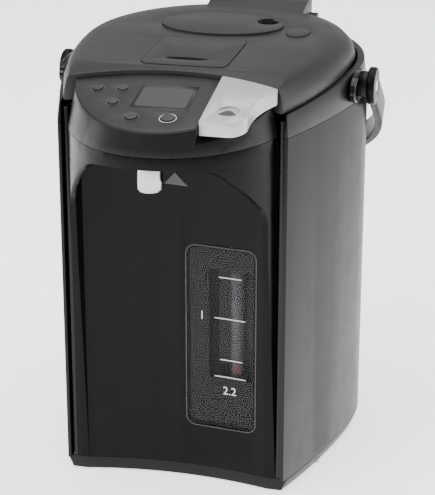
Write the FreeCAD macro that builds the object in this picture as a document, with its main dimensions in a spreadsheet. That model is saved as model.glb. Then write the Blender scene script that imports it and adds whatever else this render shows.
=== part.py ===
import FreeCAD, Part
import math
import os
import re
import Sketcher
from FreeCAD import Placement, Rotation, Vector

# Electric thermo pot, in millimetres. +Z up, the tap faces -Y, origin in the middle of the base.

SIZES = [
    # Body
    ("body_radius", 105.0), ("rear_centre", 22.0), ("side_turn", 8.5),
    ("side_end_half", 76.5), ("side_end_front", 100.5), ("shell_wall", 2.5), ("groove_half", 74.4),
    ("base_rise", 10.0), ("base_inset", 3.5), ("base_floor", 2.5), ("foot_height", 1.5),
    ("foot_radius", 78.0),
    ("screw_side", 88.0), ("screw_front", 48.0), ("screw_behind", 58.0), ("screw_rear", 75.0),
    ("screw_head", 3.4),
    ("tab_radius", 9.0), ("tab_thick", 6.0), ("tab_height", 14.0),
    ("seam_height", 251.6), ("seam_gap", 0.3), ("fit_gap", 0.3), ("screw_radius", 1.8),
    ("screw_long", 17.0),
    # Head with the beak over the cup space
    ("nose_reach", 163.0), ("nose_radius", 60.0), ("nose_turn", 45.8),
    ("nose_half", 70.0), ("nose_root", 97.0), ("nose_rear", 76.0), ("nose_wall", 3.0),
    ("plate_centre", 88.7), ("plate_side", 96.4), ("plate_half", 64.0), ("plate_wall", 3.0),
    ("cheek_half", 62.5), ("ceiling_height", 240.5), ("ceiling_wall", 3.0),
    ("lip_front", 242.0), ("lip_mid_reach", 132.6), ("lip_mid_height", 227.5),
    ("lip_turn_reach", 113.9), ("lip_turn_height", 208.0),
    ("lip_low_reach", 107.5), ("lip_low_height", 160.0), ("lip_foot_height", 10.5),
    # Control panel
    ("panel_rise", 13.9), ("panel_tilt", 13.0), ("panel_rim", 5.5), ("panel_plate", 1.6),
    ("housing_draw", 8.0), ("housing_top", 292.0),
    ("display_half", 18.5), ("display_front", 129.0), ("display_rear", 97.5),
    ("button_lift", 0.8), ("button_stem", 6.0), ("button_gap", 0.25),
    ("key_left", 31.0), ("key_front", 147.0), ("key_flat", 15.0), ("key_corner", 54.5),
    ("key_turn", 8.0), ("key_waist", 59.0), ("key_wing", 69.5), ("key_wing_reach", 103.5),
    ("key_dent", 7.0),
    ("dent_side", 46.0), ("dent_reach", 132.0), ("dent_deep", 1.2),
    ("key_rise", 3.5), ("key_depth", 5.5), ("key_gap", 0.6), ("key_well", 9.0),
    # Shoulder and lid
    ("rim_front_height", 266.2), ("rim_tilt", 3.2), ("rim_draw", 5.0), ("rim_wall", 7.5),
    ("lid_front", 82.0), ("lid_corner_half", 70.5), ("lid_corner", 98.0), ("lid_gap", 1.6),
    ("lid_ref", 50.0), ("lid_height", 289.0), ("lid_tilt", 3.2), ("lid_drop", 19.5), ("lid_skin", 3.0),
    ("lid_inset", 9.0), ("lid_rear", 105.0), ("lid_corner_draw", 9.0), ("lid_proud", 2.0),
    ("plateau_half", 78.5), ("plateau_centre", 8.0),
    ("hinge_reach", 102.0), ("hinge_height", 284.0), ("hinge_pin", 2.5), ("hinge_ear", 5.0),
    ("hinge_boss", 5.0), ("ledge_height", 277.5),
    ("hump_left", 22.0), ("hump_right", 50.0), ("hump_front", 64.0), ("hump_slope", 24.0),
    ("hump_rise", 2.5),
    ("cap_half", 43.0), ("cap_depth", 27.0), ("cap_side", 2.0), ("cap_centre", 27.0),
    ("cap_rise", 1.2), ("release_rise", 0.5),
    ("grip_dent", 8.0), ("grip_side", 33.0), ("grip_centre", 37.0),
    ("flap_half", 29.0), ("flap_front", 73.0), ("flap_rear", 10.0), ("flap_plate", 3.0),
    ("flap_gap", 0.5),
    ("flap_corner", 7.0), ("slot_left", 15.4), ("slot_right", 13.8), ("slot_front", 61.2),
    ("slot_rear", 55.2), ("slot_deep", 1.2), ("latch_half", 8.0), ("latch_rear", 62.0),
    ("latch_thick", 4.0), ("latch_post", 4.0), ("latch_reach", 83.0),
    ("lid_floor", 2.5), ("neck_radius", 60.0), ("neck_wall", 3.0), ("rail_wide", 2.5),
    ("release_side", 58.0), ("release_centre", 17.0), ("release_half", 8.0), ("release_depth", 11.0),
    # Carrying handle
    ("pivot_reach", 20.0), ("pivot_height", 258.0), ("pivot_pin", 4.0), ("pin_clearance", 0.05),
    ("bail_inside", 107.5), ("bail_thick", 5.5), ("bail_arm", 38.0), ("bail_height", 18.0),
    ("bail_eye", 13.0), ("bail_fold", 36.0),
    ("boss_radius", 10.0), ("boss_reach", 107.2), ("pin_inside", 97.6),
    # Water parts
    ("vessel_radius", 74.5), ("vessel_wall", 1.2), ("jacket_gap", 7.0), ("vessel_centre", 15.0),
    ("vessel_floor", 60.6), ("vessel_top", 247.0), ("mouth_radius", 64.0), ("deck_wall", 3.0),
    ("seal_half", 4.0), ("seal_height", 3.0), ("lid_plate", 2.5),
    ("heater_radius", 55.0), ("heater_thick", 4.0),
    ("spout_reach", 148.0), ("spout_bottom", 226.5), ("spout_radius", 8.3), ("spout_bore", 4.5),
    ("flange_radius", 10.5), ("flange_thick", 1.0), ("pipe_radius", 3.5), ("pipe_bore", 2.5),
    ("pipe_height", 248.0),
    ("riser_side", 22.0), ("riser_reach", 75.2),
    ("pump_side", 22.0), ("pump_reach", 52.0), ("pump_radius", 20.0), ("pump_floor", 30.0),
    ("pump_height", 16.0),
    ("pump_wall", 2.0), ("suction_bore", 4.0), ("motor_radius", 13.0), ("shaft_radius", 1.5),
    ("blade_radius", 15.0), ("blade_thick", 2.0),
    ("window_left", 5.5), ("window_right", 56.0), ("window_low", 40.0), ("window_top", 172.0),
    ("window_corner", 7.0), ("window_plate", 2.0),
    ("gauge_side", 39.7), ("gauge_reach", 80.4), ("gauge_radius", 4.8), ("gauge_bore", 3.9),
    ("gauge_low", 30.0), ("gauge_top", 196.0), ("float_radius", 3.6), ("float_rest", 81.0),
    ("stop_bore", 2.5), ("stop_thick", 1.5), ("stop_drop", 2.65),
    ("inlet_height", 46.0), ("inlet_half", 17.0), ("inlet_depth", 14.0), ("pin_pitch", 6.0),
    ("board_thick", 1.6), ("power_board_half", 34.0), ("power_board_front", 30.0),
    ("power_board_rear", 78.0),
    ("power_board_height", 14.0), ("post_radius", 2.5), ("board_gap", 0.8),
    ("clip_half", 7.0), ("clip_height", 6.0), ("switch_radius", 4.0), ("switch_height", 1.8),
    ("switch_side", 50.0), ("switch_reach", 115.0),
]

# Push buttons on the panel: name, place to the right, reach forward, radius
BUTTONS = [
    ("button_saving", -46.0, 107.0, 3.2), ("button_timer", -30.0, 105.0, 3.2),
    ("button_keep_warm", -31.0, 123.6, 3.2), ("button_reboil", -14.0, 140.5, 3.9),
    ("button_unlock", 9.3, 139.5, 4.3),
]

# Wider and taller than the whole pot, for rooms that are cut away
FAR = 220.0

doc = FreeCAD.newDocument("thermo_pot")
sheet = doc.addObject("Spreadsheet::Sheet", "sizes")
BUTTON_SIZES = []
for name, side, reach, radius in BUTTONS:
    BUTTON_SIZES += [(name + "_side", side), (name + "_reach", reach), (name + "_radius", radius)]
for row, (alias, value) in enumerate(SIZES + BUTTON_SIZES, start=1):
    sheet.set("A%d" % row, alias)
    sheet.set("B%d" % row, str(value))
    sheet.setAlias("B%d" % row, alias)
doc.recompute()

NODES = []


class Size:
    """Reads a driving dimension from the sheet by its name."""

    def __getattr__(self, alias):
        return float(sheet.get(alias))


d = Size()


# Helpers for outlines and solids

def arc(a, b, c):
    return Part.Arc(Vector(*a), Vector(*b), Vector(*c)).toShape()


def line(a, b):
    return Part.LineSegment(Vector(*a), Vector(*b)).toShape()


def bowed(start, heading, end):
    """An arc from start, leaving at the heading angle, that ends at end."""
    chord_x, chord_y = end[0] - start[0], end[1] - start[1]
    chord = math.hypot(chord_x, chord_y)
    turn = math.atan2(chord_y, chord_x) - heading
    rise = math.tan(turn / 2) / 2
    middle = ((start[0] + end[0]) / 2 + rise * chord_y, (start[1] + end[1]) / 2 - rise * chord_x)
    if abs(rise) * chord < 1e-6:
        return line((start[0], start[1], 0), (end[0], end[1], 0))
    return arc((start[0], start[1], 0), (middle[0], middle[1], 0), (end[0], end[1], 0))


def mirrored(shape):
    return shape.mirror(Vector(0, 0, 0), Vector(1, 0, 0))


def wire(edges):
    return Part.Wire(Part.__sortEdges__(edges))


def inset(outline, amount):
    return Part.Face(outline).makeOffset2D(-amount).OuterWire


def raised(outline, height):
    copy = outline.copy()
    copy.translate(Vector(0, 0, height))
    return copy


def prism(outline, low, high):
    return Part.Face(raised(outline, low)).extrude(Vector(0, 0, high - low))


def drawn_in(outline, low, high, amount):
    """A wall that leans inward by amount from low to high."""
    return Part.makeLoft([raised(outline, low), raised(inset(outline, amount), high)], True, True)


def box(x0, x1, y0, y1, z0, z1):
    return Part.makeBox(x1 - x0, y1 - y0, z1 - z0, Vector(x0, y0, z0))


def cylinder(radius, height, base, axis=Vector(0, 0, 1)):
    return Part.makeCylinder(radius, height, base, axis)


def ring(outer, bore, height, base, axis=Vector(0, 0, 1)):
    return cylinder(outer, height, base, axis).cut(cylinder(bore, height, base, axis))


def upright_edges(solid, axis):
    """The straight edges of a box that run along one axis."""
    others = [name for name in "XYZ" if name != axis]
    return [edge for edge in solid.Edges if all(
        abs(getattr(edge.Vertexes[0], name) - getattr(edge.Vertexes[1], name)) < 1e-6 for name in others)]


def rounded(x0, x1, y0, y1, z0, z1, radius, axis="Y"):
    """A box with round corners along one axis."""
    slab = box(x0, x1, y0, y1, z0, z1)
    return slab.makeFillet(radius, upright_edges(slab, axis))


def oval(side, centre, half, depth, low, high):
    """An upright elliptic block, half wide to the side and depth to the front and rear."""
    curve = Part.Ellipse(Vector(0, 0, 0), max(half, depth), min(half, depth)).toShape()
    if depth > half:
        curve.rotate(Vector(0, 0, 0), Vector(0, 0, 1), 90)
    curve.translate(Vector(side, centre, 0))
    return prism(Part.Wire([curve]), low, high)


def node(label, shape):
    """A sub-part with a shape of its own."""
    piece = doc.addObject("Part::Feature", label)
    piece.Label = label
    piece.Shape = shape
    NODES.append(piece)
    return piece


def amount(text):
    """The value of a sum of named sizes, such as vessel_radius+vessel_wall."""
    total = 0.0
    for sign, word in re.findall(r"([+-]?)([\w.]+)", text):
        value = float(word) if word[0].isdigit() else getattr(d, word)
        total += -value if sign == "-" else value
    return total


def bound(text):
    """The same sum as an expression on the sheet."""
    return re.sub(r"([a-z]\w*)", r"sizes.\1", text)


def primitive(kind, label, sizes, place, keep=True):
    """A box, cylinder or sphere whose sizes and place follow the sheet."""
    piece = doc.addObject("Part::" + kind, label)
    piece.Label = label
    for name, text in sizes.items():
        piece.setExpression(name, bound(text))
    for name, text in zip("xyz", place):
        piece.setExpression("Placement.Base." + name, bound(text))
    if keep:
        NODES.append(piece)
    return piece


def joined(kind, label, base, tool):
    piece = doc.addObject("Part::" + kind, label)
    piece.Label = label
    piece.Base = base
    piece.Tool = tool
    NODES.append(piece)
    return piece


def turned(label, profile, place):
    """A body of revolution from (radius, height) sums, standing at place."""
    body = doc.addObject("PartDesign::Body", label)
    body.Label = label
    plane = [feature for feature in body.Origin.OriginFeatures if feature.Role == "XZ_Plane"][0]
    sketch = body.newObject("Sketcher::SketchObject", label + "_profile")
    sketch.AttachmentSupport = [(plane, "")]
    sketch.MapMode = "FlatFace"
    corners = [Vector(amount(radius), amount(height), 0) for radius, height in profile]
    count = len(corners)
    for index in range(count):
        sketch.addGeometry(Part.LineSegment(corners[index], corners[(index + 1) % count]), False)
    for index in range(count):
        sketch.addConstraint(Sketcher.Constraint("Coincident", index, 2, (index + 1) % count, 1))
    for index, (radius, height) in enumerate(profile):
        for kind, text in (("DistanceX", radius), ("DistanceY", height)):
            number = sketch.addConstraint(Sketcher.Constraint(kind, -1, 1, index, 1, amount(text)))
            sketch.setExpression("Constraints[%d]" % number, bound(text))
    turn = body.newObject("PartDesign::Revolution", label + "_turn")
    turn.Profile = sketch
    turn.ReferenceAxis = (sketch, ["V_Axis"])
    turn.Angle = 360.0
    for name, text in zip("xyz", place):
        body.setExpression("Placement.Base." + name, bound(text))
    NODES.append(body)
    return body


# Outlines seen from above

def shell_outline():
    turn = math.radians(d.side_turn)
    side = (d.body_radius * math.cos(turn), d.rear_centre - d.body_radius * math.sin(turn))
    corner = (d.side_end_half, -d.side_end_front)
    flank = bowed(side, -math.pi / 2 - turn, corner)
    rear = arc((side[0], side[1], 0), (0, d.rear_centre + d.body_radius, 0), (-side[0], side[1], 0))
    front = line((corner[0], corner[1], 0), (-corner[0], corner[1], 0))
    return wire([flank, rear, mirrored(flank), front])


def nose_outline():
    turn = math.radians(d.nose_turn)
    centre = d.nose_radius - d.nose_reach
    bend = (d.nose_radius * math.sin(turn), centre - d.nose_radius * math.cos(turn))
    root = (d.nose_half, -d.nose_root)
    cheek = bowed(bend, turn, root)
    tip = arc((-bend[0], bend[1], 0), (0, -d.nose_reach, 0), (bend[0], bend[1], 0))
    side = line((root[0], root[1], 0), (root[0], -d.nose_rear, 0))
    rear = line((root[0], -d.nose_rear, 0), (-root[0], -d.nose_rear, 0))
    return wire([tip, cheek, side, rear, mirrored(cheek), mirrored(side)])


def beside_arc(half, corner, middle, far_side, low, high):
    """The room on the far side of an arc that crosses the pot from side to side."""
    bow = arc((-half, corner, 0), (0, middle, 0), (half, corner, 0))
    corners = [(half, corner, 0), (FAR, corner, 0), (FAR, far_side, 0), (-FAR, far_side, 0), (-FAR, corner, 0),
               (-half, corner, 0)]
    return prism(wire([bow] + [line(a, b) for a, b in zip(corners, corners[1:])]), low, high)


def front_space(setback, low, high):
    """The room in front of the hollow plate, moved back by setback."""
    return beside_arc(d.plate_half, setback - d.plate_side, setback - d.plate_centre, -FAR, low, high)


def lid_side(setback, low, high):
    """The room behind the curved front edge of the lid, moved back by setback."""
    return beside_arc(d.lid_corner_half, setback - d.lid_corner, setback - d.lid_front, FAR, low, high)


def beneath_lip(lift):
    """The room under the beak and in front of the cheeks, raised by lift."""
    profile = [(-d.nose_reach - d.base_rise, d.lip_front + d.ceiling_wall), (-d.spout_reach, d.ceiling_height),
               (-d.lip_mid_reach, d.lip_mid_height), (-d.lip_turn_reach, d.lip_turn_height),
               (-d.lip_low_reach, d.lip_low_height), (-d.plate_side - d.fit_gap, d.lip_foot_height)]
    curve = Part.BSplineCurve()
    bend = [Vector(-FAR, y, z) for y, z in profile]
    curve.interpolate(Points=bend[:-1], InitialTangent=bend[1] - bend[0], FinalTangent=bend[-1] - bend[-2])
    corners = [profile[-2], profile[-1], (profile[-1][0], -FAR), (-FAR, -FAR), (-FAR, profile[0][1]), profile[0]]
    sides = [line((-FAR,) + a, (-FAR,) + b) for a, b in zip(corners, corners[1:])]
    room = Part.Face(wire([curve.toShape()] + sides)).extrude(Vector(2 * FAR, 0, 0))
    room.translate(Vector(0, 0, lift))
    return room


def over_panel(lift):
    """Everything above the plane of the control panel, raised by lift."""
    block = Part.makeBox(2 * FAR, 2 * FAR, FAR, Vector(-FAR, -FAR, lift))
    height = d.seam_height + d.panel_rise
    block.Placement = Placement(Vector(0, -d.nose_reach, height), Rotation(Vector(1, 0, 0), d.panel_tilt))
    return block


shell_plan = shell_outline()
nose_plan = nose_outline()
wall_low = d.base_rise + d.seam_gap
seat = d.seam_height + d.seam_gap

# Lower body: shell, base, feet, screws and the strips in the grooves

inlet_room = box(-d.inlet_half, d.inlet_half, d.rear_centre + d.body_radius - d.inlet_depth, FAR,
                 d.inlet_height - d.inlet_half, d.inlet_height + d.inlet_half)
front_gate = box(-d.groove_half, d.groove_half, -FAR, -d.nose_rear, 0, 2 * FAR)
shell = prism(shell_plan, wall_low, d.seam_height).cut(prism(inset(shell_plan, d.shell_wall), 0, 2 * FAR))

foot = Part.makeLoft([raised(inset(shell_plan, d.base_inset), d.foot_height), raised(shell_plan, d.base_rise)],
                     True, True).cut(front_space(0, 0, FAR))
hollow = prism(inset(shell_plan, d.base_inset + d.base_floor), d.foot_height + d.base_floor, FAR)
floor = d.foot_height + d.base_floor
board_corners = [(side * (d.power_board_half - 2 * d.post_radius), y)
                 for side in (-1, 1)
                 for y in (d.power_board_front + 2 * d.post_radius, d.power_board_rear - 2 * d.post_radius)]
posts = [cylinder(d.post_radius, d.power_board_height - floor, Vector(x, y, floor)) for x, y in board_corners]
base_pan = foot.cut(hollow.cut(front_space(d.plate_wall, 0, FAR))).fuse(posts)

SCREW_PLACES = [(side * across, reach) for side in (-1, 1)
                for across, reach in ((d.screw_side, -d.screw_front), (d.screw_behind, d.screw_rear + d.rear_centre))]
bosses, tabs, screws = [], [], []
inside_shell = prism(shell_plan, wall_low, d.seam_height)
for x, y in SCREW_PLACES:
    bosses.append(cylinder(2 * d.screw_head, d.tab_height - floor, Vector(x, y, floor)).common(hollow))
    tabs.append(cylinder(d.tab_radius, d.tab_thick, Vector(x, y, d.tab_height)).common(inside_shell))
    head = cylinder(d.screw_head, d.base_floor, Vector(x, y, d.foot_height))
    screws.append(head.fuse(cylinder(d.screw_radius, d.screw_long, Vector(x, y, d.foot_height))))
node("outer_shell", shell.cut([front_gate, inlet_room]).fuse(tabs).cut(screws))
node("base_pan", base_pan.fuse(bosses).cut(screws))
node("base_screws", Part.Compound(screws))
primitive("Cylinder", "foot_pad", {"Radius": "foot_radius", "Height": "foot_height"}, ("0", "0", "0"))

strip = box(d.nose_half + d.fit_gap, d.groove_half - d.fit_gap, -d.nose_root + d.fit_gap, -d.nose_rear,
            wall_low, d.seam_height + d.base_rise)
node("groove_strip_right", strip)
node("groove_strip_left", mirrored(strip))

# Front panel: hollow plate, cheeks, ceiling of the cup space and the wall of the beak

full_nose = prism(nose_plan, wall_low, d.seam_height)
lip_room = beneath_lip(0)
ceiling_top = d.ceiling_height + d.ceiling_wall
plate = front_space(d.plate_wall, wall_low, ceiling_top).cut(front_space(0, 0, 2 * FAR))
plate = plate.common(box(-d.nose_half, d.nose_half, -FAR, 0, 0, 2 * FAR))
beak = full_nose.cut(prism(inset(nose_plan, d.nose_wall), 0, 2 * FAR))
back_gate = box(d.nose_wall - d.nose_half, d.nose_half - d.nose_wall, -d.plate_centre, 0, 0, 2 * FAR)
beak = beak.cut([back_gate, lip_room])
cheek = box(d.cheek_half, d.nose_half, -d.nose_reach, -d.plate_centre, wall_low, ceiling_top)
cheek = cheek.common(full_nose).cut(lip_room)
ceiling = prism(nose_plan, d.ceiling_height, ceiling_top).cut(lip_room)
ceiling = ceiling.common(front_space(d.plate_wall, 0, 2 * FAR))
brow = full_nose.common(beneath_lip(d.ceiling_wall)).cut(lip_room)
brow = brow.common(box(-FAR, FAR, -FAR, -d.spout_reach, d.lip_mid_height, 2 * FAR))
front = plate.fuse([beak, ceiling, brow, cheek, mirrored(cheek)])

pane_zone = rounded(d.window_left, d.window_right, -FAR, 0, d.window_low, d.window_top, d.window_corner)
ledge = d.plate_wall
pane_view = rounded(d.window_left + ledge, d.window_right - ledge, -d.plate_side, 0, d.window_low + ledge,
                    d.window_top - ledge, d.window_corner - ledge)
pane = front_space(d.window_plate, wall_low, FAR).cut(front_space(0, 0, FAR)).common(pane_zone)
tap = Vector(0, -d.spout_reach, d.spout_bottom)
gauge_hole = cylinder(d.gauge_radius, 2 * FAR, Vector(d.gauge_side, -d.gauge_reach, 0))
clips = []
for height in (d.gauge_low, d.gauge_top - d.clip_height):
    clip = box(d.gauge_side - d.clip_half, d.gauge_side + d.clip_half, -d.plate_side, -d.nose_rear,
               height, height + d.clip_height)
    clips.append(clip.cut([front_space(d.plate_wall / 2, 0, FAR), gauge_hole]))
flange_seat = cylinder(d.flange_radius + d.fit_gap, FAR, Vector(0, -d.spout_reach, ceiling_top))
front = front.cut([pane, pane_view, cylinder(d.spout_radius, FAR, tap), flange_seat.common(lip_room.fuse(brow))])
node("front_panel", front.fuse([clips[0].cut(pane), clips[1]]))
node("gauge_window", pane)

# Head: housing, inlaid panel, display, buttons and the pouring key

head_solid = drawn_in(nose_plan, seat, d.housing_top, d.housing_draw)
inside = drawn_in(inset(nose_plan, d.nose_wall), seat - d.seam_gap, d.housing_top, d.housing_draw)
inside = inside.cut([lid_side(-d.lid_gap - d.nose_wall, 0, 2 * FAR), over_panel(-d.panel_plate - d.nose_wall)])
well = box(d.key_left - d.key_gap, FAR, -FAR, -d.nose_rear, 0, 2 * FAR).common(over_panel(-d.key_well))
well_wall = box(d.key_left - d.nose_wall, FAR, -FAR, 0, 0, 2 * FAR).common(over_panel(-d.key_well - d.nose_wall))
housing = head_solid.cut([lid_side(-d.lid_gap, 0, 2 * FAR), over_panel(0)])
housing = housing.cut([inside.cut(well_wall), well])

inlay = prism(inset(nose_plan, d.panel_rim), seat, d.housing_top)
inlay = inlay.cut([lid_side(-2 * d.lid_gap, 0, 2 * FAR), over_panel(0)]).common(over_panel(-d.panel_plate))
inlay = inlay.cut(box(d.key_left - d.lid_gap, FAR, -FAR, 0, 0, 2 * FAR))
housing = housing.cut(inlay)
display = box(-d.display_half, d.display_half, -d.display_front, -d.display_rear, 0, 2 * FAR).common(inlay)

panel_normal = Rotation(Vector(1, 0, 0), d.panel_tilt).multVec(Vector(0, 0, 1))


def on_panel(side, reach, lift):
    """A point of the panel's plane, moved out along its normal by lift."""
    slope = math.tan(math.radians(d.panel_tilt))
    height = d.seam_height + d.panel_rise + (d.nose_reach - reach) * slope
    return Vector(side, -reach, height) + panel_normal * lift


stems = []
for name, _, _, _ in BUTTONS:
    place = on_panel(getattr(d, name + "_side"), getattr(d, name + "_reach"), -d.button_stem)
    stems.append((name, place, getattr(d, name + "_radius")))
holes = [cylinder(radius + d.button_gap, 2 * d.button_stem, base, panel_normal) for name, base, radius in stems]
board_drop = d.button_stem + d.board_gap
board_posts = []
for side in (-1, 1):
    base = on_panel(side * (d.display_half + d.post_radius), (d.display_front + d.display_rear) / 2, -board_drop)
    board_posts.append(cylinder(d.post_radius, board_drop - d.panel_plate - d.nose_wall / 2, base, panel_normal))
node("head_housing", housing.cut(holes).fuse(board_posts))
node("control_panel", inlay.cut([display] + holes))
node("display_window", display)
for name, base, radius in stems:
    node(name, cylinder(radius, d.button_stem + d.button_lift, base, panel_normal))

KEY_EDGE = [(d.key_left, -d.nose_rear), (d.key_left, -d.key_front), (d.key_left + d.key_flat, -d.key_front)]
KEY_TURNS = [((d.key_corner, d.key_front - d.key_turn / 4), (d.key_waist, d.key_front - 1.5 * d.key_turn)),
             ((d.key_waist + d.key_turn / 8, d.key_front - 3 * d.key_turn), (d.key_wing, d.key_wing_reach))]
edges = [line(a + (0,), b + (0,)) for a, b in zip(KEY_EDGE, KEY_EDGE[1:])]
last = KEY_EDGE[-1]
for (middle_x, middle_reach), (end_x, end_reach) in KEY_TURNS:
    edges.append(arc(last + (0,), (middle_x, -middle_reach, 0), (end_x, -end_reach, 0)))
    last = (end_x, -end_reach)
edges += [line(last + (0,), (last[0], -d.nose_rear, 0)), line((last[0], -d.nose_rear, 0), KEY_EDGE[0] + (0,))]
key = prism(wire(edges), seat, d.housing_top)
key = key.cut([lid_side(-2 * d.lid_gap, 0, 2 * FAR), over_panel(d.key_rise)]).common(over_panel(-d.key_depth))
dent_front = cylinder(d.key_dent, FAR, on_panel(d.dent_side, d.dent_reach, d.key_rise - d.dent_deep), panel_normal)
dent_rear = cylinder(1.3 * d.key_dent, 2 * FAR,
                     on_panel(d.dent_side, d.dent_reach + 0.9 * d.key_dent, -d.key_depth), panel_normal)
node("dispense_key", key.cut(dent_front.cut(dent_rear)))

board = prism(inset(nose_plan, 3 * d.nose_wall), seat, d.housing_top)
board = board.common(over_panel(-board_drop - d.board_thick)).cut(over_panel(-board_drop))
board = board.common(box(-FAR, d.key_left - 2 * d.nose_wall, -FAR, -d.display_rear - d.nose_wall, 0, 2 * FAR))
node("control_board", board)
node("key_switch", cylinder(d.switch_radius, d.switch_height,
                            on_panel(d.switch_side, d.switch_reach, -d.key_well), panel_normal))

# Shoulder ring with the bosses of the handle, its pins, and the deck that carries the vessel

shoulder = drawn_in(shell_plan, seat, d.housing_top, d.rim_draw)
shoulder = shoulder.cut([prism(inset(shell_plan, d.rim_wall), 0, 2 * FAR), front_gate])
lid_rim = Part.makeBox(2 * FAR, 2 * FAR, FAR, Vector(-FAR, -FAR, 0))
lid_rim.Placement = Placement(Vector(0, -d.side_end_front, d.rim_front_height), Rotation(Vector(1, 0, 0), d.rim_tilt))
shoulder = shoulder.cut(lid_rim)
outer_bail = d.bail_inside + d.bail_thick
bosses, bores, pins = [], [], []
for side in (-1, 1):
    outward = Vector(side, 0, 0)
    start = Vector(side * d.pin_inside, d.pivot_reach, d.pivot_height)
    boss = cylinder(d.boss_radius, d.boss_reach - d.pin_inside, start, outward)
    bosses.append(boss.common(box(-FAR, FAR, -FAR, FAR, seat, 2 * FAR)))
    bores.append(cylinder(d.pivot_pin, FAR, start, outward))
    pins.append(cylinder(d.pivot_pin, outer_bail - d.pin_inside, start, outward))
pin_start = Vector(-d.hump_left - d.hinge_ear, d.hinge_reach, d.hinge_height)
hinge_pin = cylinder(d.hinge_pin, d.hump_left + d.hump_right + 2 * d.hinge_ear, pin_start, Vector(1, 0, 0))
ledge = prism(inset(shell_plan, d.rim_wall / 2), d.ledge_height - d.nose_wall, d.ledge_height)
ledge = ledge.common(box(-FAR, FAR, d.lid_rear + 2 * d.lid_gap, FAR, 0, 2 * FAR))
ears = []
for near in (d.hump_right + d.fit_gap, -d.hump_left - d.hinge_ear):
    wide = d.hinge_ear - d.fit_gap
    low = d.ledge_height - d.nose_wall
    stem = box(near, near + wide, d.hinge_reach - d.hinge_boss, d.hinge_reach + d.hinge_boss, low, d.hinge_height)
    stem = stem.fuse(box(near, near + wide, d.hinge_reach, d.hinge_reach + 2 * d.hinge_boss, low, d.ledge_height))
    eye = cylinder(d.hinge_boss, wide, Vector(near, d.hinge_reach, d.hinge_height), Vector(1, 0, 0))
    ears.append(stem.common(prism(shell_plan, 0, 2 * FAR)).fuse(eye))
node("shoulder_ring", shoulder.fuse(bosses + [ledge] + ears).cut(bores + [hinge_pin]))
node("handle_pins", Part.Compound(pins))

deck = prism(inset(shell_plan, d.shell_wall + d.fit_gap), d.vessel_top - d.deck_wall, d.vessel_top)
deck = deck.cut([box(-FAR, FAR, -FAR, -d.nose_rear + d.fit_gap, 0, 2 * FAR),
                 cylinder(d.mouth_radius, 2 * FAR, Vector(0, d.vessel_centre, 0)),
                 cylinder(d.pipe_radius + d.fit_gap, 2 * FAR, Vector(d.riser_side, -d.riser_reach, 0))])
node("upper_deck", deck)

# Carrying handle, folded back round the body

half_height = d.bail_height / 2
bend = ring(outer_bail, d.bail_inside, d.bail_height, Vector(0, d.bail_arm, -half_height))
bend = bend.common(box(-FAR, FAR, d.bail_arm, FAR, -FAR, FAR))
arm = box(d.bail_inside, outer_bail, 0, d.bail_arm, -half_height, half_height)
arm = arm.fuse(cylinder(d.bail_eye, d.bail_thick, Vector(d.bail_inside, 0, 0), Vector(1, 0, 0)))
eye = cylinder(d.pivot_pin + d.pin_clearance, 2 * FAR, Vector(-FAR, 0, 0), Vector(1, 0, 0))
bail = bend.fuse([arm, mirrored(arm)]).cut(eye)
bail.Placement = Placement(Vector(0, d.pivot_reach, d.pivot_height), Rotation(Vector(1, 0, 0), -d.bail_fold))
node("carrying_handle", bail)

# Lid, drawn level with its flat top at zero and then tilted into place

lid_place = Placement(Vector(0, -d.lid_ref, d.lid_height), Rotation(Vector(1, 0, 0), d.lid_tilt))

# Share of the way from the lower edge to the flat top, and share of the height
CROWN = [(0.0, 0.0), (0.08, 0.35), (0.28, 0.68), (0.6, 0.9), (1.0, 1.0)]


def lid_outline(share, shrink):
    """The lid from above: share 0 is its lower edge and 1 the flat top."""
    wide = d.body_radius - d.lid_inset
    radius = wide + (d.plateau_half - wide) * share - shrink
    middle = d.rear_centre - (d.rear_centre + d.plateau_centre) * share + d.lid_ref
    front_half = d.lid_corner_half - d.lid_gap - d.lid_corner_draw * share - shrink
    corner = (front_half, d.lid_ref - d.lid_corner - d.base_rise)
    flank = bowed((radius, middle), -math.pi / 2, corner)
    rear = arc((radius, middle, 0), (0, middle + radius, 0), (-radius, middle, 0))
    front_line = line((corner[0], corner[1], 0), (-corner[0], corner[1], 0))
    return wire([flank, rear, mirrored(flank), front_line])


def lid_form(shrink):
    """The crowned block of the lid, with its front cut along the arc and its rear cut flat."""
    sections = [raised(lid_outline(share, shrink), (rise - 1) * d.lid_drop - shrink) for share, rise in CROWN]
    room = lid_side(shrink, -FAR, 2 * FAR)
    room.Placement = lid_place.inverse()
    slope = over_panel(d.lid_proud - shrink)
    slope.Placement = lid_place.inverse().multiply(slope.Placement)
    rear = d.lid_rear + d.lid_ref - shrink
    crowned = Part.makeLoft(sections, True, True).common(room).cut(slope.common(box(-FAR, FAR, -FAR, 0, -FAR, FAR)))
    return crowned.common(box(-FAR, FAR, -FAR, rear, -FAR, FAR))


def lid_node(label, shape):
    copy = shape.copy()
    copy.Placement = lid_place.multiply(copy.Placement)
    return node(label, copy)


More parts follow.
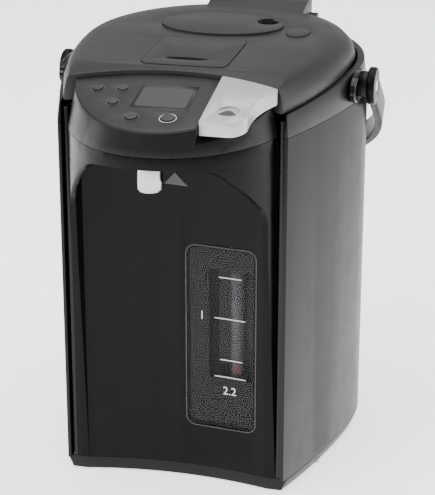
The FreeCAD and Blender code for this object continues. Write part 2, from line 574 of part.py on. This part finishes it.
cap_at = (d.cap_side, d.cap_centre + d.lid_ref)
release_at = (d.release_side, d.release_centre + d.lid_ref)
flap_low, flap_high = d.lid_ref - d.flap_front, d.lid_ref - d.flap_rear
form = lid_form(0)
hump_side = [(d.hump_front, -d.lid_skin), (d.hump_front + d.hump_slope, d.hump_rise), (d.lid_rear, d.hump_rise),
             (d.lid_rear, -d.lid_drop / 2), (d.hump_front, -d.lid_drop / 2)]
corners = [(-d.hump_left, y + d.lid_ref, z) for y, z in hump_side]
outline = wire([line(start, end) for start, end in zip(corners, corners[1:] + corners[:1])])
hump = Part.Face(outline).extrude(Vector(d.hump_left + d.hump_right, 0, 0))
cap_zone = oval(*cap_at, d.cap_half + d.fit_gap, d.cap_depth + d.fit_gap, -d.lid_drop / 2, FAR)
release_zone = oval(*release_at, d.release_half + d.fit_gap, d.release_depth + d.fit_gap, -d.lid_drop / 2, FAR)
flap_zone = rounded(-d.flap_half - d.flap_gap, d.flap_half + d.flap_gap, flap_low - d.flap_gap,
                    flap_high + d.flap_gap, -d.lid_drop / 2, FAR, d.flap_corner, "Z")
hinge_at = lid_place.inverse().multVec(Vector(0, d.hinge_reach, d.hinge_height))
knuckle_long = d.hump_left + d.hump_right
knuckle_start = hinge_at - Vector(d.hump_left, 0, 0)
knuckle = cylinder(d.hinge_boss, knuckle_long, knuckle_start, Vector(1, 0, 0))
hinge_bore = cylinder(d.hinge_pin + d.pin_clearance, knuckle_long, knuckle_start, Vector(1, 0, 0))
ear_rooms = []
for near in (d.hump_right, -d.hump_left - d.hinge_ear - d.fit_gap):
    ear_rooms.append(box(near, near + d.hinge_ear + d.fit_gap, hinge_at.y - d.hinge_boss - 3 * d.fit_gap, FAR, -FAR,
                         hinge_at.z + d.hinge_boss + d.fit_gap))
latch_low = d.lid_floor + d.fit_gap - d.lid_drop
latch_body = box(-d.latch_half, d.latch_half, d.lid_ref - d.latch_reach, d.lid_ref - d.latch_rear, latch_low,
                 latch_low + d.latch_thick)
latch_post = box(-d.latch_half, d.latch_half, flap_low + d.flap_corner, flap_low + d.flap_corner + d.latch_post,
                 latch_low, -d.flap_plate - d.flap_gap)
latch_slot = box(-d.latch_half - d.fit_gap, d.latch_half + d.fit_gap, -FAR, d.lid_ref - d.flap_front,
                 latch_low - d.fit_gap, latch_low + d.latch_thick + d.fit_gap)
cover = form.cut(lid_form(d.lid_skin)).fuse([hump, knuckle])
lid_node("lid_cover", cover.cut([cap_zone, release_zone, flap_zone, hinge_bore, latch_slot] + ear_rooms))
lid_node("lid_latch", latch_body.fuse(latch_post))

# Underside of the lid: a floor inside the cover, rails for the latch and a neck down to the inner plate
slab = box(-FAR, FAR, -FAR, hinge_at.y - 2 * d.hinge_boss, -d.lid_drop, d.lid_floor - d.lid_drop)
rails = [box(near, near + d.rail_wide, d.lid_ref - d.flap_front, d.lid_ref - d.latch_rear, -d.lid_drop,
             latch_low + d.latch_thick)
         for near in (d.latch_half + d.fit_gap, -d.latch_half - d.fit_gap - d.rail_wide)]
underside = slab.common(lid_form(d.lid_skin + d.fit_gap)).fuse(rails)
underside.Placement = lid_place
below = box(-FAR, FAR, -FAR, FAR, -FAR, -d.lid_drop)
below.Placement = lid_place
neck_low = d.vessel_top + d.fit_gap + d.seal_height + d.lid_plate
neck = ring(d.neck_radius, d.neck_radius - d.neck_wall, FAR, Vector(0, d.vessel_centre, neck_low)).common(below)
node("lid_underside", underside.fuse(neck))

chamber_low = -d.lid_drop / 2
chamber = oval(*cap_at, d.cap_half + d.lid_skin, d.cap_depth + d.lid_skin, chamber_low - d.lid_skin, -d.lid_skin)
lid_node("steam_chamber", chamber.cut([cap_zone, cylinder(d.grip_dent, 2 * FAR, Vector(*cap_at, -FAR)), hump]))
dent = cylinder(d.grip_dent, FAR, Vector(d.grip_side, d.grip_centre + d.lid_ref, -d.lid_skin))
lid_node("steam_cap", oval(*cap_at, d.cap_half, d.cap_depth, chamber_low, d.cap_rise).cut(dent))
flap = rounded(-d.flap_half, d.flap_half, flap_low, flap_high, -d.flap_plate, d.fit_gap,
               d.flap_corner - d.flap_gap, "Z")
slot_middle = ((d.slot_right - d.slot_left) / 2, d.lid_ref - (d.slot_front + d.slot_rear) / 2)
slot = oval(*slot_middle, (d.slot_left + d.slot_right) / 2, (d.slot_front - d.slot_rear) / 2, -d.slot_deep, d.lid_skin)
lid_node("release_flap", flap.cut(slot))
lid_node("cap_release", oval(*release_at, d.release_half, d.release_depth, chamber_low, d.release_rise))
node("lid_hinge_pin", hinge_pin)

turned("lid_seal", [("mouth_radius-seal_half", "fit_gap"), ("mouth_radius+seal_half", "fit_gap"),
                    ("mouth_radius+seal_half", "fit_gap+seal_height"),
                    ("mouth_radius-seal_half", "fit_gap+seal_height")], ("0", "vessel_centre", "vessel_top"))
turned("lid_inner_plate", [("0", "fit_gap+seal_height"), ("mouth_radius+seal_half", "fit_gap+seal_height"),
                           ("mouth_radius+seal_half", "fit_gap+seal_height+lid_plate"),
                           ("0", "fit_gap+seal_height+lid_plate")], ("0", "vessel_centre", "vessel_top"))

# Water parts: vessel, jacket, heater, pump, pipe, tap and sight tube

wall = "vessel_radius+vessel_wall"
turned("inner_vessel", [("0", "vessel_floor-vessel_wall"), (wall, "vessel_floor-vessel_wall"),
                        (wall, "vessel_top-deck_wall"), ("vessel_radius", "vessel_top-deck_wall"),
                        ("vessel_radius", "vessel_floor"), ("0", "vessel_floor")], ("0", "vessel_centre", "0"))
turned("vessel_jacket", [(wall + "+jacket_gap", "vessel_floor"), (wall + "+jacket_gap+vessel_wall", "vessel_floor"),
                         (wall + "+jacket_gap+vessel_wall", "vessel_top-deck_wall"),
                         (wall, "vessel_top-deck_wall"), (wall, "vessel_top-deck_wall-vessel_wall"),
                         (wall + "+jacket_gap", "vessel_top-deck_wall-vessel_wall")], ("0", "vessel_centre", "0"))
primitive("Cylinder", "heater_plate", {"Radius": "heater_radius", "Height": "heater_thick"},
          ("0", "vessel_centre", "vessel_floor-vessel_wall-heater_thick"))

turned("spout_nozzle", [("spout_bore", "0"), ("spout_radius-1", "0"), ("spout_radius", "2"),
                        ("spout_radius", "pipe_height-spout_bottom-pipe_radius"),
                        ("spout_bore", "pipe_height-spout_bottom-pipe_radius")],
       ("0", "0-spout_reach", "spout_bottom"))
turned("spout_flange", [("spout_radius", "0"), ("flange_radius", "0"), ("flange_radius", "flange_thick"),
                        ("spout_radius", "flange_thick")], ("0", "0-spout_reach", "ceiling_height+ceiling_wall"))

pipe_run = [Vector(d.riser_side, -d.riser_reach, d.pump_floor + d.pump_height),
            Vector(d.riser_side, -d.riser_reach, d.pipe_height), Vector(0, -d.spout_reach, d.pipe_height)]


def tube(points, radius):
    """Straight lengths of round tube with ball corners."""
    lengths = [cylinder(radius, (b - a).Length, a, b - a) for a, b in zip(points, points[1:])]
    return lengths[0].fuse(lengths[1:] + [Part.makeSphere(radius, point) for point in points[1:-1]])


node("delivery_pipe", tube(pipe_run, d.pipe_radius).cut(tube(pipe_run, d.pipe_bore)))

turned("suction_pipe", [("suction_bore", "0"), ("suction_bore+pump_wall", "0"),
                        ("suction_bore+pump_wall", "vessel_floor-vessel_wall-pump_floor-pump_height"),
                        ("suction_bore", "vessel_floor-vessel_wall-pump_floor-pump_height")],
       ("pump_side", "suction_bore+pump_wall+pump_wall-pump_reach", "pump_floor+pump_height"))
pump_place = ("pump_side", "0-pump_reach", "pump_floor")
turned("pump_housing", [("shaft_radius+pin_clearance", "0"), ("pump_radius", "0"), ("pump_radius", "pump_height"),
                        ("0", "pump_height"), ("0", "pump_height-pump_wall"),
                        ("pump_radius-pump_wall", "pump_height-pump_wall"), ("pump_radius-pump_wall", "pump_wall"),
                        ("shaft_radius+pin_clearance", "pump_wall")], pump_place)
primitive("Cylinder", "pump_motor", {"Radius": "motor_radius", "Height": "pump_floor-foot_height-base_floor"},
          ("pump_side", "0-pump_reach", "foot_height+base_floor"))
hub = cylinder(2 * d.shaft_radius, d.pump_height - 2 * d.pump_wall - 2 * d.pump_wall,
               Vector(d.pump_side, -d.pump_reach, d.pump_floor + 2 * d.pump_wall))
blades = []
for quarter in range(2):
    blade = box(-d.blade_radius, d.blade_radius, -d.blade_thick / 2, d.blade_thick / 2, 0, d.pump_height / 2)
    blade.Placement = Placement(Vector(d.pump_side, -d.pump_reach, d.pump_floor + 2 * d.pump_wall),
                                Rotation(Vector(0, 0, 1), 90 * quarter))
    blades.append(blade)
shaft = cylinder(d.shaft_radius, 2 * d.pump_wall, Vector(d.pump_side, -d.pump_reach, d.pump_floor + d.fit_gap))
node("pump_impeller", hub.fuse(blades + [shaft]))

gauge_place = ("gauge_side", "0-gauge_reach", "gauge_low")
tube_outside = primitive("Cylinder", "sight_tube_outside", {"Radius": "gauge_radius", "Height": "gauge_top-gauge_low"},
                         gauge_place, keep=False)
tube_inside = primitive("Cylinder", "sight_tube_inside", {"Radius": "gauge_bore", "Height": "gauge_top-gauge_low"},
                        gauge_place, keep=False)
joined("Cut", "sight_tube", tube_outside, tube_inside)
turned("level_stop", [("stop_bore", "0-stop_drop-stop_thick"), ("gauge_bore", "0-stop_drop-stop_thick"),
                      ("gauge_bore", "0-stop_drop"), ("stop_bore", "0-stop_drop")],
       ("gauge_side", "0-gauge_reach", "float_rest"))
primitive("Sphere", "level_float", {"Radius": "float_radius"}, ("gauge_side", "0-gauge_reach", "float_rest"))

# Electrical parts: boards and the power inlet at the rear

primitive("Box", "power_board", {"Length": "power_board_half+power_board_half",
                                 "Width": "power_board_rear-power_board_front", "Height": "board_thick"},
          ("0-power_board_half", "power_board_front", "power_board_height"))
inlet_back = d.rear_centre + d.body_radius - d.inlet_depth
socket = box(-d.inlet_half, d.inlet_half, inlet_back, inlet_back + d.inlet_depth - d.shell_wall,
             d.inlet_height - d.inlet_half, d.inlet_height + d.inlet_half)
recess = box(d.shell_wall - d.inlet_half, d.inlet_half - d.shell_wall, inlet_back + d.shell_wall, FAR,
             d.inlet_height - d.pin_pitch, d.inlet_height + d.pin_pitch)
node("power_inlet", socket.cut(recess))
node("inlet_pins", Part.Compound([
    cylinder(d.shaft_radius, d.inlet_depth / 2,
             Vector(side * d.pin_pitch, inlet_back + d.shell_wall, d.inlet_height), Vector(0, 1, 0))
    for side in (-1, 1)]))

# Every object is checked before anything is written

doc.recompute()
for piece in doc.Objects:
    if "Invalid" in piece.State or "Error" in piece.State:
        raise RuntimeError("%s did not build: %s" % (piece.Label, piece.State))
os.makedirs("parts", exist_ok=True)
for piece in NODES:
    shape = piece.Shape
    if shape.isNull() or not shape.isValid() or not shape.Solids:
        raise RuntimeError("%s has no valid solid" % piece.Label)
for piece in NODES:
    piece.Shape.exportStep("parts/%s.step" % piece.Label)
    box_of = piece.Shape.BoundBox
    print("%-20s solids %d volume %9.0f  x %.1f %.1f y %.1f %.1f z %.1f %.1f" % (
        piece.Label, len(piece.Shape.Solids), piece.Shape.Volume, box_of.XMin, box_of.XMax,
        box_of.YMin, box_of.YMax, box_of.ZMin, box_of.ZMax))
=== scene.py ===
import math
import bmesh
import bpy
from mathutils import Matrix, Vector


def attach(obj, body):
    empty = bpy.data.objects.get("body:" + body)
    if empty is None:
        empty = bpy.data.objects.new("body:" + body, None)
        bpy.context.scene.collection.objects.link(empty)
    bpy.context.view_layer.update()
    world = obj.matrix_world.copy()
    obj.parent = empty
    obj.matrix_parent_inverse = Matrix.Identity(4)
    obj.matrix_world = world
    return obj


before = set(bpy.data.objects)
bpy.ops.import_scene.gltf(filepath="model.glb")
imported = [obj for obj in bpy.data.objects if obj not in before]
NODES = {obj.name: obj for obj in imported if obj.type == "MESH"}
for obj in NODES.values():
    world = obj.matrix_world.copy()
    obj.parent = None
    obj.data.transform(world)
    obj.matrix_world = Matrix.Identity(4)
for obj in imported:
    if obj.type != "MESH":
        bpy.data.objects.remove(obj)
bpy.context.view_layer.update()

scene = bpy.context.scene

# Sizes of the front plate and of the control panel, in metres like all sizes here
PLATE_RADIUS = 0.2698
PLATE_FRONT = 0.0887
PANEL_TILT = math.radians(13.0)
PANEL_FRONT = 0.163
PANEL_HEIGHT = 0.2655

# The gauge: opening behind the pane, the slot left clear in it, and the marks as left, right and height
VIEW_LEFT, VIEW_RIGHT, VIEW_LOW, VIEW_HIGH = 0.0088, 0.0527, 0.0433, 0.1687
SLOT_LEFT, SLOT_RIGHT, SLOT_LOW, SLOT_HIGH = 0.0215, 0.0522, 0.0763, 0.1550
BEHIND_PANE = -0.0024
BACKING_REACH = 0.0745
GAUGE_MARKS = [(0.029, 0.045, 0.1505), (0.026, 0.048, 0.1213), (0.030, 0.046, 0.0915), (0.026, 0.0485, 0.0790)]
MARK_HALF = 0.0003
FIGURE_TALL = 0.0058
FIGURE_LIFT = 0.0006

# Push buttons on the panel: name, place to the right, reach forward, radius
BUTTONS = [
    ("saving", -0.046, 0.107, 0.0032), ("timer", -0.030, 0.105, 0.0032), ("warm", -0.031, 0.1236, 0.0032),
    ("reboil", -0.014, 0.1405, 0.0039), ("unlock", 0.0093, 0.1395, 0.0043),
]
RING_GAP = 0.0012

# The fin beside the spout, the painted shade in the key's thumb dent and the covers over the handle's pivots
FIN_CORNERS = [(0.0092, -0.150, 0.2325), (0.0247, -0.150, 0.2315), (0.0165, -0.150, 0.2403)]
FIN_DEPTH = 0.003
DENT_SHADE_LEFT, DENT_SHADE_RIGHT, DENT_SHADE_REACH = 0.0400, 0.0520, 0.1365
DENT_SHADE_REAR_BOW, DENT_SHADE_FRONT_BOW = 0.0055, 0.0012
DENT_SHADE_LIFT, DENT_SHADE_THICK, DENT_SHADE_STEPS = 0.00352, 0.0003, 16
COVER_SIDE, COVER_THICK = 0.1000, 0.0043
COVER_CENTRE, COVER_LONG = 0.004, 0.022
COVER_HEIGHT, COVER_TALL, COVER_STEPS = 0.2615, 0.0105, 40

FLOOR_HALF = 4


def on_plate(x, z, lift=0.0):
    """A point on the hollow front plate, lifted towards the user."""
    bow = PLATE_RADIUS - math.sqrt(PLATE_RADIUS ** 2 - x ** 2)
    return Vector((x, -PLATE_FRONT - bow - lift, z))


def on_panel(x, reach, lift=0.0):
    """A point on the control panel, lifted along its normal."""
    height = PANEL_HEIGHT + (PANEL_FRONT - reach) * math.tan(PANEL_TILT)
    return Vector((x, -reach - lift * math.sin(PANEL_TILT), height + lift * math.cos(PANEL_TILT)))


def on_backing(x, z, lift=0.0):
    """A point on the flat backing behind the sight tube."""
    return Vector((x, -BACKING_REACH - lift, z))


# Materials

FINE_GRAIN = 500.0


def link(tree, a, out, b, into):
    tree.links.new(a.outputs[out], b.inputs[into])


def surface(name, colour, rough, depth=0.0002, spread=0.12, metal=0.0, coat=0.0, stretch=(1, 1, 1),
            rough_spread=0.08, gleam=0.3, glow=0.0, scale=60.0, alpha=1.0):
    """A moulded, painted or metal surface with mottled colour, uneven gloss and fine grain."""
    material = bpy.data.materials.new(name)
    material.use_nodes = True
    tree = material.node_tree
    shader = tree.nodes["Principled BSDF"]
    place = tree.nodes.new("ShaderNodeTexCoord")
    move = tree.nodes.new("ShaderNodeMapping")
    move.inputs["Scale"].default_value = stretch
    link(tree, place, "Object", move, "Vector")
    cloud = tree.nodes.new("ShaderNodeTexNoise")
    cloud.inputs["Scale"].default_value = scale
    cloud.inputs["Detail"].default_value = 4.0
    link(tree, move, "Vector", cloud, "Vector")
    shades = tree.nodes.new("ShaderNodeValToRGB")
    low = [channel * (1 - spread) for channel in colour]
    high = [min(1.0, channel * (1 + spread)) for channel in colour]
    shades.color_ramp.elements[0].position = 0.3
    shades.color_ramp.elements[0].color = low + [1]
    shades.color_ramp.elements[1].position = 0.7
    shades.color_ramp.elements[1].color = high + [1]
    link(tree, cloud, "Fac", shades, "Fac")
    link(tree, shades, "Color", shader, "Base Color")
    gloss = tree.nodes.new("ShaderNodeMapRange")
    gloss.inputs["To Min"].default_value = max(0.02, rough - rough_spread)
    gloss.inputs["To Max"].default_value = rough + rough_spread
    link(tree, cloud, "Fac", gloss, "Value")
    link(tree, gloss, "Result", shader, "Roughness")
    fine = tree.nodes.new("ShaderNodeTexNoise")
    fine.inputs["Scale"].default_value = FINE_GRAIN
    fine.inputs["Detail"].default_value = 2.0
    link(tree, move, "Vector", fine, "Vector")
    bump = tree.nodes.new("ShaderNodeBump")
    bump.inputs["Strength"].default_value = 0.25
    bump.inputs["Distance"].default_value = depth
    link(tree, fine, "Fac", bump, "Height")
    link(tree, bump, "Normal", shader, "Normal")
    shader.inputs["Metallic"].default_value = metal
    shader.inputs["Coat Weight"].default_value = coat
    shader.inputs["Coat Roughness"].default_value = 0.06
    shader.inputs["Specular IOR Level"].default_value = gleam
    shader.inputs["Alpha"].default_value = alpha
    if glow:
        shader.inputs["Emission Color"].default_value = (1, 1, 1, 1)
        shader.inputs["Emission Strength"].default_value = glow
    return material


BODY = surface("charcoal_satin", (0.0075, 0.0075, 0.0088), 0.38, coat=0.02, gleam=0.18)
LID = surface("charcoal_lid", (0.016, 0.016, 0.0175), 0.42, gleam=0.26)
PANEL = surface("panel_satin", (0.015, 0.015, 0.0165), 0.38)
FRONT = surface("front_black", (0.0016, 0.0016, 0.0018), 0.26, gleam=0.10)
GLOSS = surface("gloss_black", (0.0015, 0.0015, 0.0017), 0.12, rough_spread=0.03, gleam=0.25)
HEAD = surface("head_black", (0.0045, 0.0045, 0.005), 0.34, gleam=0.2)
DARK = surface("inner_dark", (0.004, 0.004, 0.0045), 0.55, gleam=0.2)
BASE = surface("base_black", (0.0045, 0.0045, 0.005), 0.35, gleam=0.2)
HANDLE = surface("handle_black", (0.003, 0.003, 0.0033), 0.34, gleam=0.10)
SILVER = surface("silver_paint", (0.46, 0.46, 0.47), 0.32, metal=0.35, spread=0.03, coat=0.2, scale=400.0)
STEEL = surface("polished_steel", (0.45, 0.45, 0.46), 0.18, metal=1.0, spread=0.05, stretch=(1, 1, 12))
BRUSHED = surface("brushed_steel", (0.50, 0.50, 0.51), 0.32, metal=1.0, spread=0.08, stretch=(1, 1, 30))
RUBBER = surface("soft_rubber", (0.010, 0.010, 0.010), 0.75)
BOARD = surface("board_green", (0.02, 0.12, 0.05), 0.5)
PANE = surface("window_clear", (0.004, 0.004, 0.0045), 0.10, depth=0.00001, rough_spread=0.02, alpha=0.25)
MASK = surface("window_black", (0.0035, 0.0035, 0.004), 0.20, depth=0.00001, rough_spread=0.02)
PANE_EDGE = surface("window_edge", (0.050, 0.050, 0.054), 0.30, spread=0.2)
SLOT = surface("window_slot", (0.018, 0.018, 0.020), 0.14, rough_spread=0.02)
TUBE = surface("tube_glass", (0.30, 0.30, 0.32), 0.10, coat=0.3, spread=0.2, gleam=0.5, alpha=0.30)
RED = surface("float_red", (0.75, 0.020, 0.015), 0.30, coat=0.3, spread=0.1)
PRINT = surface("print_white", (0.62, 0.62, 0.62), 0.5, spread=0.04)
FAINT = surface("print_faint", (0.10, 0.10, 0.105), 0.5, spread=0.1)
LCD_FRAME = surface("display_frame", (0.012, 0.012, 0.013), 0.16, rough_spread=0.03)
LCD = surface("display_glass", (0.042, 0.043, 0.045), 0.25, coat=0.1, spread=0.06, scale=25.0)
BUTTON = surface("button_grey", (0.032, 0.032, 0.034), 0.40)
# Grey of the fin beside the spout, also used as the painted shade in the key's thumb dent
FIN_GREY_AND_DENT_SHADE = surface("fin_grey_and_dent_shade", (0.050, 0.050, 0.052), 0.40)

# What each node is made of, where that is not the plain button grey or the dark inside
FINISH = {
    "outer_shell": BODY, "shoulder_ring": BODY, "base_pan": BASE, "head_housing": HEAD,
    "lid_cover": LID, "release_flap": LID, "steam_cap": LID, "cap_release": LID,
    "control_panel": PANEL, "front_panel": FRONT, "carrying_handle": HANDLE, "dispense_key": SILVER,
    "groove_strip_right": GLOSS, "groove_strip_left": GLOSS,
    "spout_nozzle": STEEL, "handle_pins": STEEL, "lid_hinge_pin": STEEL, "inlet_pins": STEEL,
    "base_screws": STEEL, "inner_vessel": BRUSHED, "vessel_jacket": BRUSHED, "lid_inner_plate": BRUSHED,
    "heater_plate": BRUSHED, "foot_pad": RUBBER, "lid_seal": RUBBER, "delivery_pipe": RUBBER,
    "suction_pipe": RUBBER, "control_board": BOARD, "power_board": BOARD, "gauge_window": PANE,
    "display_window": LCD_FRAME, "level_float": RED, "sight_tube": TUBE,
}

# How far each node's edges are rounded off
ROUNDING = {
    "outer_shell": 0.0004, "shoulder_ring": 0.0012, "head_housing": 0.0012, "lid_cover": 0.0006,
    "release_flap": 0.0004, "steam_cap": 0.0006, "cap_release": 0.0015, "control_panel": 0.0002,
    "front_panel": 0.0005, "carrying_handle": 0.0018, "dispense_key": 0.0010, "spout_nozzle": 0.0006,
    "base_pan": 0.0006, "groove_strip_right": 0.0005, "groove_strip_left": 0.0005,
    "handle_pins": 0.0006, "display_window": 0.0003, "gauge_window": 0.0003,
}
BUTTON_ROUNDING = 0.0008

for name, node in NODES.items():
    is_button = name.startswith("button")
    node.data.materials.clear()
    node.data.materials.append(FINISH.get(name, BUTTON if is_button else DARK))
    for face in node.data.polygons:
        face.use_smooth = True
    weld = node.modifiers.new("weld", "WELD")
    weld.merge_threshold = 0.00001
    width = ROUNDING.get(name, BUTTON_ROUNDING if is_button else 0.0)
    if width:
        bevel = node.modifiers.new("soft_edges", "BEVEL")
        bevel.width = width
        bevel.segments = 3
        bevel.limit_method = "ANGLE"
        bevel.angle_limit = math.radians(35)
        bevel.harden_normals = True
        bevel.use_clamp_overlap = True


# Pieces made here

def piece(name, points, faces, material, body):
    """A flat-shaded mesh object that rides on a body."""
    mesh = bpy.data.meshes.new(name)
    mesh.from_pydata([tuple(point) for point in points], [], faces)
    shape = bmesh.new()
    shape.from_mesh(mesh)
    bmesh.ops.remove_doubles(shape, verts=shape.verts, dist=1e-6)
    bmesh.ops.recalc_face_normals(shape, faces=shape.faces)
    shape.to_mesh(mesh)
    shape.free()
    for face in mesh.polygons:
        face.use_smooth = False
    thing = bpy.data.objects.new(name, mesh)
    scene.collection.objects.link(thing)
    mesh.materials.append(material)
    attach(thing, body)
    return thing


def strip_faces(a, b):
    """The four faces between two neighbouring cross-sections of four points each."""
    return [(a, a + 1, b + 1, b), (a + 2, b + 2, b + 3, a + 3),
            (a, b, b + 2, a + 2), (a + 1, a + 3, b + 3, b + 1)]


def sheet_patch(name, place, left, right, low, high, corner, material, lift=0.0001, thick=0.0003, columns=24):
    """A thin rounded patch that lies on the surface that place(x, z, lift) describes."""
    points, faces = [], []
    for step in range(columns + 1):
        x = left + (right - left) * step / columns
        near = min(x - left, right - x)
        cut = 0.0
        if near < corner:
            cut = corner - math.sqrt(max(0.0, corner ** 2 - (corner - near) ** 2))
        for lift_now in (lift, lift - thick):
            points.append(place(x, low + cut, lift_now))
            points.append(place(x, high - cut, lift_now))
    for step in range(columns):
        faces += strip_faces(4 * step, 4 * step + 4)
    last = 4 * columns
    faces += [(0, 2, 3, 1), (last, last + 1, last + 3, last + 2)]
    return piece(name, points, faces, material, "pot")


def frame_patch(name, place, left, right, low, high, corner, wide, material, lift=0.0002, thick=0.0003,
                turns=8):
    """A thin rounded frame that lies on a surface."""
    points, faces = [], []
    centres = [(right - corner, high - corner, 0), (left + corner, high - corner, 90),
               (left + corner, low + corner, 180), (right - corner, low + corner, 270)]
    for across, up, start in centres:
        for step in range(turns + 1):
            angle = math.radians(start + 90 * step / turns)
            for radius in (corner, corner - wide):
                side, height = across + radius * math.cos(angle), up + radius * math.sin(angle)
                points += [place(side, height, lift), place(side, height, lift - thick)]
    count = len(points) // 4
    for step in range(count):
        faces += strip_faces(4 * step, 4 * ((step + 1) % count))
    return piece(name, points, faces, material, "pot")


def solid_between(name, outline, shift, material, body, bevel):
    """A solid swept from a flat outline along shift, with softened edges."""
    count = len(outline)
    points = [Vector(point) for point in outline]
    points += [point + Vector(shift) for point in points]
    faces = [tuple(range(count)), tuple(range(2 * count - 1, count - 1, -1))]
    faces += [(a, (a + 1) % count, (a + 1) % count + count, a + count) for a in range(count)]
    thing = piece(name, points, faces, material, body)
    soft = thing.modifiers.new("soft_edges", "BEVEL")
    soft.width = bevel
    soft.segments = 3
    soft.limit_method = "ANGLE"


def plain_number(name, words, place):
    """A plain figure beside the gauge, as a thin raised print."""
    text = bpy.data.curves.new(name, "FONT")
    text.body = words
    text.size = FIGURE_TALL * 1.4
    text.extrude = 0.00008
    text.align_x = "CENTER"
    label = bpy.data.objects.new(name, text)
    scene.collection.objects.link(label)
    label.location = place
    label.rotation_euler = (math.radians(90), 0, -math.asin(place[0] / PLATE_RADIUS))
    text.materials.append(PRINT)
    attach(label, "pot")


# Gauge: black print behind the pane around the slot, a backing behind the sight tube, marks and figures
MASKS = [
    ("left", VIEW_LEFT, SLOT_LEFT, VIEW_LOW, VIEW_HIGH),
    ("right", SLOT_RIGHT, VIEW_RIGHT, VIEW_LOW, VIEW_HIGH),
    ("low", SLOT_LEFT, SLOT_RIGHT, VIEW_LOW, SLOT_LOW),
    ("high", SLOT_LEFT, SLOT_RIGHT, SLOT_HIGH, VIEW_HIGH),
]
for label, left, right, low, high in MASKS:
    sheet_patch("gauge_mask_" + label, on_plate, left, right, low, high, 0.0002, MASK, lift=BEHIND_PANE)
sheet_patch("gauge_back", on_backing, 0.0180, 0.0525, 0.0460, 0.1660, 0.001, SLOT, lift=0.0002)
for number, (left, right, height) in enumerate(GAUGE_MARKS):
    sheet_patch("gauge_mark_%d" % number, on_plate, left, right, height - MARK_HALF, height + MARK_HALF,
                0.0002, PRINT, lift=0.0003)
plain_number("gauge_figure_1", "1", on_plate(0.0174, 0.1195, FIGURE_LIFT))
plain_number("gauge_figure_2", "2.2", on_plate(0.0370, 0.0665, FIGURE_LIFT))
frame_patch("window_edge_line", on_plate, 0.0058, 0.0557, 0.0403, 0.1717, 0.0068, 0.0006, PANE_EDGE)

# Rings round the buttons, the widest and whitest round the unlock button
for label, side, reach, radius in BUTTONS:
    edge = radius + RING_GAP
    wide, ink = (0.0005, PRINT) if label == "unlock" else (0.0003, FAINT)
    frame_patch("ring_" + label, on_panel, side - edge, side + edge, reach - edge, reach + edge, edge,
                wide, ink, lift=0.0001, turns=12)

solid_between("spout_fin", FIN_CORNERS, (0, FIN_DEPTH, 0), FIN_GREY_AND_DENT_SHADE, "pot", 0.0004)

# Painted shade in the key's thumb dent: a thin dark half-moon patch on the key, from its rear edge round to
# its front edge
dent_shade_outline = []
for step in range(2 * DENT_SHADE_STEPS):
    share = step / DENT_SHADE_STEPS
    if step <= DENT_SHADE_STEPS:
        side = DENT_SHADE_LEFT + (DENT_SHADE_RIGHT - DENT_SHADE_LEFT) * share
        reach = DENT_SHADE_REACH - DENT_SHADE_REAR_BOW * math.sin(math.pi * share)
    else:
        side = DENT_SHADE_RIGHT - (DENT_SHADE_RIGHT - DENT_SHADE_LEFT) * (share - 1)
        reach = DENT_SHADE_REACH + DENT_SHADE_FRONT_BOW * math.sin(math.pi * (share - 1))
    dent_shade_outline.append(on_panel(side, reach, DENT_SHADE_LIFT))
solid_between("key_dent", dent_shade_outline, (0, 0, -DENT_SHADE_THICK), FIN_GREY_AND_DENT_SHADE, "key", 0.0001)

for side, label in ((-1, "left"), (1, "right")):
    outline = []
    for step in range(COVER_STEPS):
        angle = 2 * math.pi * step / COVER_STEPS
        outline.append((side * COVER_SIDE, COVER_CENTRE + COVER_LONG * math.cos(angle),
                        COVER_HEIGHT + COVER_TALL * math.sin(angle)))
    solid_between("pivot_cover_" + label, outline, (side * COVER_THICK, 0, 0), GLOSS, "pot", 0.0010)

sheet_patch("display_area", on_panel, -0.0165, 0.0165, 0.1015, 0.1265, 0.0015, LCD, lift=0.0002)

# Floor, light and camera

floor_mesh = bpy.data.meshes.new("floor")
floor_corners = [(x * FLOOR_HALF, y * FLOOR_HALF, 0) for x, y in ((-1, -1), (1, -1), (1, 1), (-1, 1))]
floor_mesh.from_pydata(floor_corners, [], [(0, 1, 2, 3)])
floor = bpy.data.objects.new("floor", floor_mesh)
scene.collection.objects.link(floor)
floor_mesh.materials.append(surface("floor_white", (0.93, 0.93, 0.93), 0.85, spread=0.01, glow=1.6))


def area_light(name, place, aim, size, power, tall=None):
    """A soft lamp that faces aim, square unless it is given a height."""
    lamp = bpy.data.lights.new(name, "AREA")
    lamp.energy = power
    lamp.size = size
    if tall:
        lamp.shape = "RECTANGLE"
        lamp.size_y = tall
    holder = bpy.data.objects.new(name, lamp)
    scene.collection.objects.link(holder)
    holder.location = place
    holder.rotation_euler = (Vector(aim) - Vector(place)).to_track_quat("-Z", "Y").to_euler()


area_light("key", (-0.9, -1.2, 1.5), (0, 0, 0.15), size=1.0, power=24)
area_light("top", (0.1, 0.2, 1.9), (0, 0, 0.2), size=1.6, power=24)
area_light("right", (1.5, 0.5, 0.6), (0, 0, 0.15), size=0.5, power=8, tall=1.4)
area_light("left", (-1.6, -0.2, 0.5), (0, 0, 0.15), size=0.7, power=9, tall=1.6)

world = bpy.data.worlds.new("studio")
world.use_nodes = True
backdrop = world.node_tree.nodes["Background"]
backdrop.inputs["Color"].default_value = (1, 1, 1, 1)
backdrop.inputs["Strength"].default_value = 0.75
scene.world = world

lens = bpy.data.cameras.new("camera")
lens.lens = 123.636
lens.sensor_width = 36.0
lens.clip_start = 0.05
camera = bpy.data.objects.new("camera", lens)
scene.collection.objects.link(camera)
camera.location = (0.2872, -1.1073, 0.5514)
camera.rotation_euler = (math.radians(90 - 19.914), 0, math.radians(14.288))
scene.camera = camera
